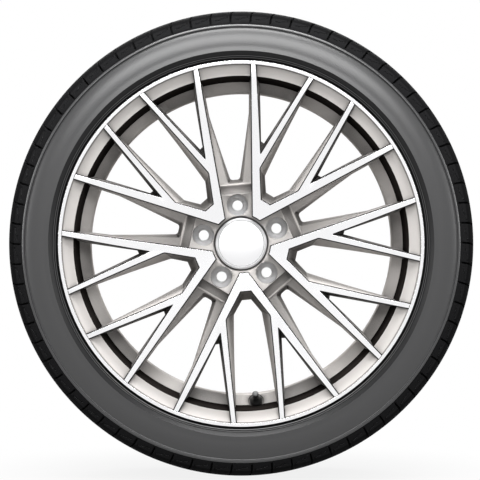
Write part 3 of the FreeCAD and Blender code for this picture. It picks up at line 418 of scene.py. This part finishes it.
def tread_mesh(settings):
    """Tread with its ribs, grooves, leaning shoulder slots and sipes."""
    section, along, rows = tread_rows()
    tangent = np.gradient(section, axis=0)
    tangent /= np.linalg.norm(tangent, axis=1)[:, None]
    inward = np.stack([tangent[:, 1], -tangent[:, 0]], axis=-1)
    columns = np.array(PITCH)
    place = rows[:, :1] + rows[:, 3:] * columns[None, :, 3]
    depth = (rows[:, 1:2] * columns[None, :, 1] * settings.slot_depth
             + rows[:, 2:3] * columns[None, :, 2] * settings.sipe_depth) / MM
    radius = np.interp(place, along, section[:, 0]) + np.interp(place, along, inward[:, 0]) * depth
    axial = np.interp(place, along, section[:, 1])
    lean = np.interp(axial, *np.array(LEAN).T)
    axial = axial + np.interp(place, along, inward[:, 1]) * depth
    in_pitch = columns[None, :, 0] + lean
    radius = np.vstack([radius, radius[-2::-1]])
    axial = np.vstack([-axial, axial[-2::-1]])
    in_pitch = np.vstack([in_pitch, in_pitch[-2::-1]])
    turns = np.concatenate([in_pitch + turn for turn in range(settings.slots)], axis=1)
    angle = turns * 2 * math.pi / settings.slots + math.radians(FIRST_SLOT)
    points = round_wheel(np.tile(radius, settings.slots), np.tile(axial, settings.slots), angle) * MM
    mesh = grid_mesh("tyre_tread", points)
    sipe = rows[:, 2:3] * columns[None, :, 2]
    sipe = np.tile(np.vstack([sipe, sipe[-2::-1]]), settings.slots)
    sipe = sipe + np.roll(sipe, -1, axis=1)
    beside = sipe[:-1] + sipe[1:]
    # Faces of the crown take the darker crown colour: painted shade
    crown = np.abs(np.tile(axial, settings.slots))[:-1] < CROWN_REACH
    mesh.polygons.foreach_set("material_index", np.where(beside > 0, 2, crown).ravel().astype(np.int32))
    smooth(mesh, 30)
    return mesh


def casing_mesh():
    """Sidewalls, rim protectors, beads and liner; the beads take the second material."""
    half = np.array(SIDEWALL)
    full = np.vstack([half * (1, -1), half[::-1]])
    angle = np.linspace(0, 2 * math.pi, 360, endpoint=False)[None, :]
    points = round_wheel(full[:, :1] + 0 * angle, full[:, 1:], angle) * MM
    mesh = grid_mesh("tyre_casing", points)
    for face in mesh.polygons:
        radii = [math.hypot(*mesh.vertices[i].co.xz) / MM for i in face.vertices]
        rib = any(low < min(radii) and max(radii) < high for low, high in BEAD_RIBS)
        face.material_index = 1 if max(radii) < BEAD_RADIUS and not rib else 0
    smooth(mesh, 30)
    return mesh


class WHEEL_OT_tyre(bpy.types.Operator):
    """Build the tyre: tread and casing"""

    bl_idname = "road_wheel.tyre"
    bl_label = "Tyre"

    def execute(self, context):
        settings = context.scene.road_tyre
        rubber = rubber_material("tyre_rubber", settings.rubber, settings.roughness, 0.9)
        matt = rubber_material("tread_rubber", settings.tread, 0.6, 0.03)
        bead = rubber_material("bead_rubber", settings.tread, 0.35, 0.2)
        tread = tread_mesh(settings)
        tread.materials.append(matt)
        # The crown's darker colour is painted shade
        colour = [CROWN_SHADE * level for level in settings.tread]
        tread.materials.append(rubber_material("crown_shade_rubber", colour, 0.8, 0.02))
        tread.materials.append(rubber)
        casing = casing_mesh()
        casing.materials.append(rubber)
        casing.materials.append(bead)
        add_piece("tyre_tread", tread, "root", "tyre_rubber", "tyre")
        add_piece("tyre_casing", casing, "root", "tyre_rubber", "tyre")
        return {"FINISHED"}


# Cast wheel

def reach(place):
    """Distance from the spin axis in millimetres."""
    return math.hypot(place.x, place.z) / MM


def face_level(radius):
    """How far outboard the machined spoke face stands at a radius, in millimetres."""
    share = (radius - FACE_INNER[0]) / (FACE_OUTER[0] - FACE_INNER[0])
    return FACE_INNER[1] + (FACE_OUTER[1] - FACE_INNER[1]) * share


# Zones of the casting, in the order of its materials
PAINT, MACHINED, SEAT, STEP, EDGE, SLOPE, WALL, ROOT, CREST = range(9)

# Painted light of the zones from EDGE on: name and share of the casting's colour; the edge, scoop, wall and
# root take darker shares as painted shade, the crest a lighter share as a painted highlight
ZONE_PAINTED_LIGHT = (("edge_shade", 0.035), ("scoop_shade", 0.85), ("wall_shade", 0.85), ("root_shade", 0.45),
              ("crest_highlight", 1.6))

# Where the zones lie, in millimetres: the scoop beyond each bolt pad, the deep step behind the dished band,
# the floors of the bolt pockets, the dished band and the walls of the windows
SCOOP_RADII = (71.0, 95.0)
STEP_RADII = (232.5, 240.7)
STEP_LEVEL = 84.5
SEAT_REACH = 73.0
SEAT_LEVELS = (38.5, 62.5)
DISH_INNER = 239.0
DISH_FALL = 9.0
WALL_RADII = (73.0, 257.0)
ROOT_RADIUS = 60.0
WALL_LEVEL = 45.0


def casting_zone(face):
    """Zone of a face of the casting; the dished band counts as CREST until it is shaped."""
    radii = [reach(vert.co) for vert in face.verts]
    levels = [-vert.co.y / MM for vert in face.verts]
    middle = face.calc_center_median()
    radius = sum(radii) / len(radii)
    outboard = sum(levels) / len(levels)
    facing = (face.normal.x * middle.x + face.normal.z * middle.z) / (reach(middle) * MM)
    tilt = face.normal.y
    if tilt < -0.98:
        if radius > FACE_OUTER[0] - 1 and abs(outboard - LIP_FACE) < 0.06:
            return MACHINED
        if FACE_INNER[0] - 1 < radius < FACE_OUTER[0] + 1 and abs(outboard - face_level(radius)) < 0.2:
            return MACHINED
    elif DISH_INNER < min(radii) and LIP_FACE - DISH_FALL - 0.1 < min(levels) and tilt < -0.75:
        return CREST
    # The scoop slope takes a darker share of the paint: painted shade
    if SCOOP_RADII[0] < min(radii) and max(radii) < SCOOP_RADII[1] and -0.95 < tilt < -0.6:
        return SLOPE
    # The deep step takes the near-black step colour: painted shade
    if STEP_RADII[0] < min(radii) and max(radii) < STEP_RADII[1] and outboard > STEP_LEVEL:
        return STEP
    if max(radii) < SEAT_REACH and SEAT_LEVELS[0] < outboard < SEAT_LEVELS[1] and tilt < -0.4:
        return SEAT
    # Window walls take a darker share of the paint and their roots a darker one still: painted shade
    if abs(tilt) < 0.6 and outboard > WALL_LEVEL:
        if facing > 0.3 and ROOT_RADIUS < radius < WALL_RADII[1]:
            return ROOT
        if facing > -0.7 and WALL_RADII[0] < radius < WALL_RADII[1]:
            return WALL
    return PAINT


# Bolt holes, the direction of one in degrees from straight up, and the section of the scoop beyond its pad:
# (distance from the spin axis, distance outboard) in millimetres
BOLTS = 5
FIRST_BOLT = -5.4
SCOOP = (
    (72.0, 88.0), (72.15, 80.4), (73.5, 78.8), (75.5, 78.0), (78.0, 77.8), (80.5, 78.2), (82.5, 79.0),
    (84.2, 80.0), (85.4, 80.5), (86.3, 80.3), (86.8, 79.3), (87.0, 78.0),
)
SCOOP_CREST = 84.2

# The dished band falls from the lip with this power of the height above its inner edge; beyond the radius of
# its line it takes the darker root colour as painted shade
DISH_POWER = 3.6
DISH_RINGS = 8
DISH_LINE = 254.8

# Painted edge beside the machined spoke faces, its near-black colour a painted shade, in millimetres: width,
# drop and the radius that it ends at; at corners it reaches out to a limit, in widths
EDGE_WIDTH = 1.5
EDGE_DROP = 1.0
EDGE_REACH = 256.4
EDGE_LIMIT = 3

# Steps of the centre cap's face from its edge inward: (width, rise) in millimetres and material
CAP_STEPS = ((1.7, 0.0, 1), (0.7, -0.35, 2), (0.5, 0.3, 0))


def cut_faces(made, faces, direction, places):
    """Cut faces across a direction at distances in millimetres; returns the faces they become."""
    for place in places:
        parts = {item for face in faces for item in (face, *face.edges, *face.verts)}
        cut = bmesh.ops.bisect_plane(made, geom=list(parts), dist=0.001 * MM, plane_co=direction * place * MM,
                                     plane_no=direction)
        faces = [item for item in cut["geom"] if isinstance(item, bmesh.types.BMFace)]
    return faces


def hollow_dish(made):
    """Hollow the dished band: steep at the lip and flat at its inner edge."""
    floor = LIP_FACE - DISH_FALL
    faces = [face for face in made.faces if face.material_index == CREST]
    faces = cut_faces(made, faces, Vector((0, -1, 0)), np.linspace(floor, LIP_FACE, DISH_RINGS + 1)[1:-1])
    for vert in {vert for face in faces for vert in face.verts}:
        share = min(1, max(0, (-vert.co.y / MM - floor) / DISH_FALL))
        vert.co.y = -(floor + DISH_FALL * share ** DISH_POWER) * MM
    # The ring next to the lip takes the darker root colour: painted shade along the lip
    for face in faces:
        face.material_index = ROOT if min(reach(vert.co) for vert in face.verts) > DISH_LINE else PAINT


def hollow_scoops(made):
    """Hollow the slope beyond each bolt pad into a scoop whose raised lip at the window takes a painted
    highlight.
    """
    places, levels = np.array(SCOOP).T
    for turn in range(BOLTS):
        angle = math.radians(FIRST_BOLT + 360 / BOLTS * turn)
        direction = Vector((math.sin(angle), 0, math.cos(angle)))
        faces = [face for face in made.faces if face.material_index == SLOPE
                 and face.calc_center_median().dot(direction) > 0.8 * SCOOP_RADII[0] * MM]
        faces = cut_faces(made, faces, direction, places[1:-1])
        for vert in {vert for face in faces for vert in face.verts}:
            vert.co.y = -np.interp(vert.co.dot(direction) / MM, places, levels) * MM
        # Faces beyond the crest take the lighter crest colour: a painted highlight on the raised lip
        for face in faces:
            if face.calc_center_median().dot(direction) > SCOOP_CREST * MM:
                face.material_index = CREST


def clean_copy(node_name, flat_angle):
    """Copy of a CAD node's mesh; above 0 degrees its flat areas are joined into single faces."""
    made = bmesh.new()
    made.from_mesh(NODES[node_name].data)
    bmesh.ops.remove_doubles(made, verts=made.verts, dist=0.01 * MM)
    if flat_angle:
        bmesh.ops.dissolve_limit(made, angle_limit=math.radians(flat_angle), verts=made.verts,
                                 edges=made.edges)
    return made


def edge_line(made):
    """Chamfer the border of the machined spoke faces outward; the chamfer's near-black colour is painted
    shade.
    """
    for edge in list(made.edges):
        near, far = sorted(edge.verts, key=lambda vert: reach(vert.co))
        start, end = reach(near.co), reach(far.co)
        zones = {face.material_index == MACHINED for face in edge.link_faces}
        if len(zones) == 2 and start < EDGE_REACH - 0.1 and end > EDGE_REACH + 0.1:
            bmesh.utils.edge_split(edge, near, (EDGE_REACH - start) / (end - start))
    spokes = [face for face in made.faces
              if face.material_index == MACHINED and reach(face.calc_center_median()) < FACE_OUTER[0]]
    ring = bmesh.ops.inset_region(made, faces=spokes, thickness=EDGE_WIDTH * MM, use_boundary=True,
                                  use_even_offset=True)["faces"]
    inside = {vert for face in spokes for vert in face.verts}
    partner = {}
    for face in ring:
        for edge in face.edges:
            within = [vert for vert in edge.verts if vert in inside]
            if len(within) == 1:
                partner[edge.other_vert(within[0])] = within[0]
    for outer, inner in partner.items():
        step = outer.co - inner.co
        if reach(outer.co) < EDGE_REACH + 0.05:
            inner.co = outer.co
            outer.co += step * min(1, EDGE_LIMIT * EDGE_WIDTH * MM / step.length)
            outer.co.y += EDGE_DROP * MM
    # The chamfer's near-black colour is painted shade beside the machined face
    for face in ring:
        face.material_index = EDGE if reach(face.calc_center_median()) < EDGE_REACH else MACHINED


class WHEEL_OT_casting(bpy.types.Operator):
    """Build the cast wheel with its painted and machined faces"""

    bl_idname = "road_wheel.casting"
    bl_label = "Cast wheel"

    def execute(self, context):
        settings = context.scene.road_alloy
        made = clean_copy("wheel", 0)
        for face in made.faces:
            face.material_index = casting_zone(face)
        hollow_dish(made)
        hollow_scoops(made)
        edge_line(made)
        mesh = bpy.data.meshes.new("wheel_casting")
        made.to_mesh(mesh)
        made.free()
        smooth(mesh, 22)
        mesh.materials.append(paint_material("wheel_paint", settings.paint, settings.edge, 0.0))
        mesh.materials.append(turned_material("machined_face", settings.machined, settings.edge / 2, 0.2))
        mesh.materials.append(new_material("bolt_seat", settings.machined, 0.5)[0])
        mesh.materials.append(paint_material("step_shade", settings.shade, settings.edge, 0.0))
        for name, share in ZONE_PAINTED_LIGHT:
            colour = [share * level for level in settings.paint]
            mesh.materials.append(paint_material(name, colour, settings.edge, 0.0))
        add_piece("wheel_casting", mesh, "root", "painted_alloy", "wheel")
        return {"FINISHED"}


class WHEEL_OT_centre_cap(bpy.types.Operator):
    """Build the clip-in centre cap"""

    bl_idname = "road_wheel.centre_cap"
    bl_label = "Centre cap"

    def execute(self, context):
        settings = context.scene.road_alloy
        made = clean_copy("centre_cap", 0.6)
        face = min(made.faces, key=lambda item: (round(item.calc_center_median().y, 4), -item.calc_area()))
        for side in made.faces:
            side.material_index = 1
        for width, rise, zone in CAP_STEPS:
            ring = bmesh.ops.inset_individual(made, faces=[face], thickness=width * MM, depth=rise * MM,
                                              use_even_offset=True)["faces"]
            for side in ring:
                side.material_index = zone
        face.material_index = 0
        mesh = bpy.data.meshes.new("wheel_centre_cap")
        made.to_mesh(mesh)
        made.free()
        smooth(mesh, 22)
        mesh.materials.append(turned_material("cap_silver", settings.cap, settings.edge / 2, 0.4))
        # The cap's edge and groove take darker shares of its colour: painted shade of the bevel and the
        # groove
        for name, share in (("cap_edge_shade", 0.72), ("cap_groove_shade", 0.3)):
            colour = [share * level for level in settings.cap]
            mesh.materials.append(paint_material(name, colour, settings.edge / 2, 0.0))
        add_piece("wheel_centre_cap", mesh, "root", "silver_cap", "centre_cap")
        return {"FINISHED"}


# Valve sections in millimetres: (distance out from the seat, radius)

STEM = (
    (-7.25, 2.83), (-7.25, 8.6), (-6.8, 9.2), (-6.2, 9.5), (-4.9, 9.5), (-4.4, 9.2), (-4.25, 8.7),
    (-4.25, 5.7), (0.06, 5.7), (0.06, 8.5), (0.5, 8.9), (1.4, 9.0), (5.5, 8.95), (7.0, 8.8),
    (8.4, 8.3), (9.6, 7.4), (10.6, 6.5), (11.8, 5.8), (13.2, 5.2), (15.0, 4.8), (16.0, 4.6),
    (16.45, 4.3), (16.5, 3.9), (16.5, 2.83),
)
CAP = (
    (16.9, 3.93), (16.9, 4.3), (17.0, 4.6), (17.3, 4.7), (18.3, 4.7), (18.6, 4.7), (20.0, 4.7),
    (22.0, 4.7), (24.0, 4.7), (26.2, 4.65), (26.5, 4.6), (27.2, 4.45), (27.7, 4.1), (27.95, 3.6),
    (28.0, 2.4), (28.0, 0.02), (25.51, 0.02), (25.51, 3.93),
)
TUBE_FOOT = ((-7.25, 2.2), (-7.25, 2.8), (16.7, 2.8), (16.7, 3.5))
TUBE_END = ((24.3, 3.6), (24.5, 3.3), (24.5, 2.63), (13.37, 2.63), (13.37, 2.2))

# Grip ridges of the cap: between these distances out, their depth and the columns of each
CAP_GRIP = (18.5, 26.3)
GRIP_DEPTH = 0.13
RIDGE_COLUMNS = 6

# Colour of the coil spring
STEEL = (0.62, 0.62, 0.63)

# Screw thread of the tube in millimetres
THREAD_START = 16.75
THREAD_END = 24.2
THREAD_PITCH = 0.794
THREAD_DEPTH = 0.32
THREAD_RADIUS = 3.85


def thread_shape(out, radius, angle):
    """Screw thread cut into the outer wall of the tube."""
    wave = np.abs(((out / THREAD_PITCH - angle / (2 * math.pi)) % 1) - 0.5) * 2
    cut = (radius > 3.8) & (out > THREAD_START + 0.1) & (out < THREAD_END + 0.1)
    return np.where(cut, radius - THREAD_DEPTH * wave, radius)


class WHEEL_OT_valve(bpy.types.Operator):
    """Build the valve: rubber body, brass tube, core, pin, spring and cap"""

    bl_idname = "road_wheel.valve"
    bl_label = "Valve"

    def execute(self, context):
        settings = context.scene.road_valve
        rubber = rubber_material("valve_rubber", settings.rubber, 0.42, 0.4)
        brass = new_material("brass", settings.brass, 0.28, 1.0)[0]
        plastic = new_material("black_plastic", settings.plastic, 0.35)[0]
        steel = new_material("spring_steel", STEEL, 0.3, 1.0)[0]

        stem = lathe("valve_body", STEM, 64)
        stem.materials.append(rubber)
        add_piece("valve_body", stem, "root", "valve_rubber", "valve_stem")

        turns = [(out, THREAD_RADIUS) for out in np.arange(THREAD_START, THREAD_END, THREAD_PITCH / 8)]
        tube = lathe("valve_thread_tube", [*TUBE_FOOT, *turns, *TUBE_END], 48, thread_shape)
        tube.materials.append(brass)
        add_piece("valve_thread_tube", tube, "root", "brass", "valve_tube")

        def grip(out, radius, angle):
            """Ridges round the outer wall of the cap."""
            ridged = (radius > 4.5) & (out > CAP_GRIP[0]) & (out < CAP_GRIP[1])
            wave = GRIP_DEPTH * np.cos(settings.ridges * angle)
            return np.where(ridged, radius - GRIP_DEPTH + wave, radius)

        cap = lathe("valve_screw_cap", CAP, settings.ridges * RIDGE_COLUMNS, grip)
        cap.materials.append(plastic)
        add_piece("valve_screw_cap", cap, "valve_cap", "black_plastic", "valve_cap")

        coil = NODES["valve_spring"].data.copy()
        coil.materials.clear()
        coil.materials.append(steel)
        smooth(coil)
        spring = add_piece("valve_coil", coil, "root", "spring_steel", "valve_spring")
        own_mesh(spring)

        for name, material, slot in (("valve_core", brass, "brass"), ("valve_pin", brass, "brass"),
                                     ("cap_seal", rubber, "valve_rubber")):
            shown = NODES[name]
            shown.data.materials.clear()
            shown.data.materials.append(material)
        return {"FINISHED"}


# Stage

def white_to_camera(tree, lit, output, share):
    """Show pure white to the camera and to reflections for a share, and the lit shader for the rest."""
    path = node(tree, "ShaderNodeLightPath")
    either = node(tree, "ShaderNodeMath", operation="MAXIMUM")
    seen = node(tree, "ShaderNodeMath", operation="MAXIMUM")
    part = node(tree, "ShaderNodeMath", operation="MULTIPLY")
    if isinstance(share, bpy.types.NodeSocket):
        tree.links.new(share, part.inputs[1])
    else:
        part.inputs[1].default_value = share
    mix = node(tree, "ShaderNodeMixShader")
    tree.links.new(path.outputs["Is Camera Ray"], either.inputs[0])
    tree.links.new(path.outputs["Is Glossy Ray"], either.inputs[1])
    tree.links.new(either.outputs[0], seen.inputs[0])
    tree.links.new(path.outputs["Is Transmission Ray"], seen.inputs[1])
    tree.links.new(seen.outputs[0], part.inputs[0])
    tree.links.new(part.outputs[0], mix.inputs["Fac"])
    tree.links.new(lit, mix.inputs[1])
    tree.links.new(mix.outputs[0], output.inputs["Surface"])
    return mix.inputs[2]


def soft_light(scene, name, place, size, power):
    """Area light aimed at the wheel's centre."""
    lamp = bpy.data.lights.new(name, "AREA")
    lamp.shape = "RECTANGLE"
    lamp.size, lamp.size_y = size
    lamp.energy = power
    light = bpy.data.objects.new(name, lamp)
    light.location = place
    light.rotation_euler = (-light.location).to_track_quat("-Z", "Y").to_euler()
    scene.collection.objects.link(light)
    return light


class WHEEL_OT_stage(bpy.types.Operator):
    """Build the floor, the soft light and the camera"""

    bl_idname = "road_wheel.stage"
    bl_label = "Stage"

    def execute(self, context):
        settings = context.scene.road_stage
        scene = context.scene
        ground = CAD_BOX[0][2]

        mesh = bpy.data.meshes.new("floor")
        corners = [(-3, -3, 0), (3, -3, 0), (3, 3, 0), (-3, 3, 0)]
        mesh.from_pydata(corners, [], [(0, 1, 2, 3)])
        floor = bpy.data.objects.new("floor", mesh)
        floor.location.z = ground
        scene.collection.objects.link(floor)
        pale, tree, shader = new_material("pale_floor", settings.floor, 0.9)
        output = tree.nodes["Material Output"]
        glow = node(tree, "ShaderNodeEmission")
        place = node(tree, "ShaderNodeTexCoord")
        away = node(tree, "ShaderNodeVectorMath", operation="LENGTH")
        fade = node(tree, "ShaderNodeMapRange", interpolation_type="SMOOTHSTEP")
        for name, value in (("From Min", 0.1), ("From Max", 0.5), ("To Min", 0.86), ("To Max", 1.0)):
            fade.inputs[name].default_value = value
        tree.links.new(place.outputs["Object"], away.inputs[0])
        tree.links.new(away.outputs["Value"], fade.inputs["Value"])
        target = white_to_camera(tree, shader.outputs[0], output, fade.outputs["Result"])
        tree.links.new(glow.outputs[0], target)
        mesh.materials.append(pale)

        world = bpy.data.worlds.new("studio")
        scene.world = world
        world.use_nodes = True
        tree = world.node_tree
        ambient = tree.nodes["Background"]
        ambient.inputs["Color"].default_value = (1, 1, 1, 1)
        ambient.inputs["Strength"].default_value = settings.ambient
        white = node(tree, "ShaderNodeBackground")
        white.inputs["Color"].default_value = (1, 1, 1, 1)
        target = white_to_camera(tree, ambient.outputs[0], tree.nodes["World Output"], 1.0)
        tree.links.new(white.outputs[0], target)

        soft_light(scene, "key", (0, -2.55, 1.4), (2.3, 1.0), settings.key)
        soft_light(scene, "top", (0, -1.0, 2.3), (2.0, 0.9), settings.top)
        fill = soft_light(scene, "fill", (0, -3.5, 0.1), (1.4, 0.6), settings.fill)
        fill.visible_glossy = False
        soft_light(scene, "back", (0, 1.7, 1.15), (1.6, 0.8), settings.back)
        soft_light(scene, "left", (-2.6, -1.0, 0.5), (0.8, 1.2), settings.side)
        soft_light(scene, "right", (2.6, -1.0, 0.5), (0.8, 1.2), settings.side)

        lens = bpy.data.cameras.new("camera")
        lens.lens = settings.lens
        lens.sensor_width = 36
        lens.shift_x = -0.0025
        lens.shift_y = 0.0075
        camera = bpy.data.objects.new("camera", lens)
        camera.location = (0, -settings.distance, 0)
        camera.rotation_euler = (math.radians(90), 0, 0)
        scene.collection.objects.link(camera)
        scene.camera = camera
        scene.view_settings.view_transform = "Standard"
        return {"FINISHED"}


class WHEEL_PT_panel(bpy.types.Panel):
    """Sidebar panel that lists the pieces and their settings"""

    bl_idname = "WHEEL_PT_panel"
    bl_label = "Road wheel"
    bl_space_type = "VIEW_3D"
    bl_region_type = "UI"
    bl_category = "Road wheel"

    def draw(self, context):
        for name, operators in PANEL_ROWS:
            box = self.layout.box()
            settings = getattr(context.scene, name)
            for key in settings.__annotations__:
                box.prop(settings, key)
            for operator in operators:
                box.operator(operator)


PANEL_ROWS = (
    ("road_tyre", ("road_wheel.tyre",)),
    ("road_alloy", ("road_wheel.casting", "road_wheel.centre_cap")),
    ("road_valve", ("road_wheel.valve",)),
    ("road_stage", ("road_wheel.stage",)),
)
SETTINGS = (
    ("road_tyre", TyreSettings),
    ("road_alloy", AlloySettings),
    ("road_valve", ValveSettings),
    ("road_stage", StageSettings),
)
CLASSES = (WHEEL_OT_tyre, WHEEL_OT_casting, WHEEL_OT_centre_cap, WHEEL_OT_valve, WHEEL_OT_stage,
           WHEEL_PT_panel)


def register():
    """Register the settings, operators and panel."""
    for name, settings in SETTINGS:
        bpy.utils.register_class(settings)
        setattr(bpy.types.Scene, name, PointerProperty(type=settings))
    for item in CLASSES:
        bpy.utils.register_class(item)


def unregister():
    """Take the settings, operators and panel out again."""
    for item in reversed(CLASSES):
        bpy.utils.unregister_class(item)
    for name, settings in reversed(SETTINGS):
        delattr(bpy.types.Scene, name)
        bpy.utils.unregister_class(settings)


def main():
    """Build the wheel and its stage."""
    register()
    bpy.ops.road_wheel.tyre()
    bpy.ops.road_wheel.casting()
    bpy.ops.road_wheel.centre_cap()
    bpy.ops.road_wheel.valve()
    bpy.ops.road_wheel.stage()


if __name__ == "__main__":
    main()
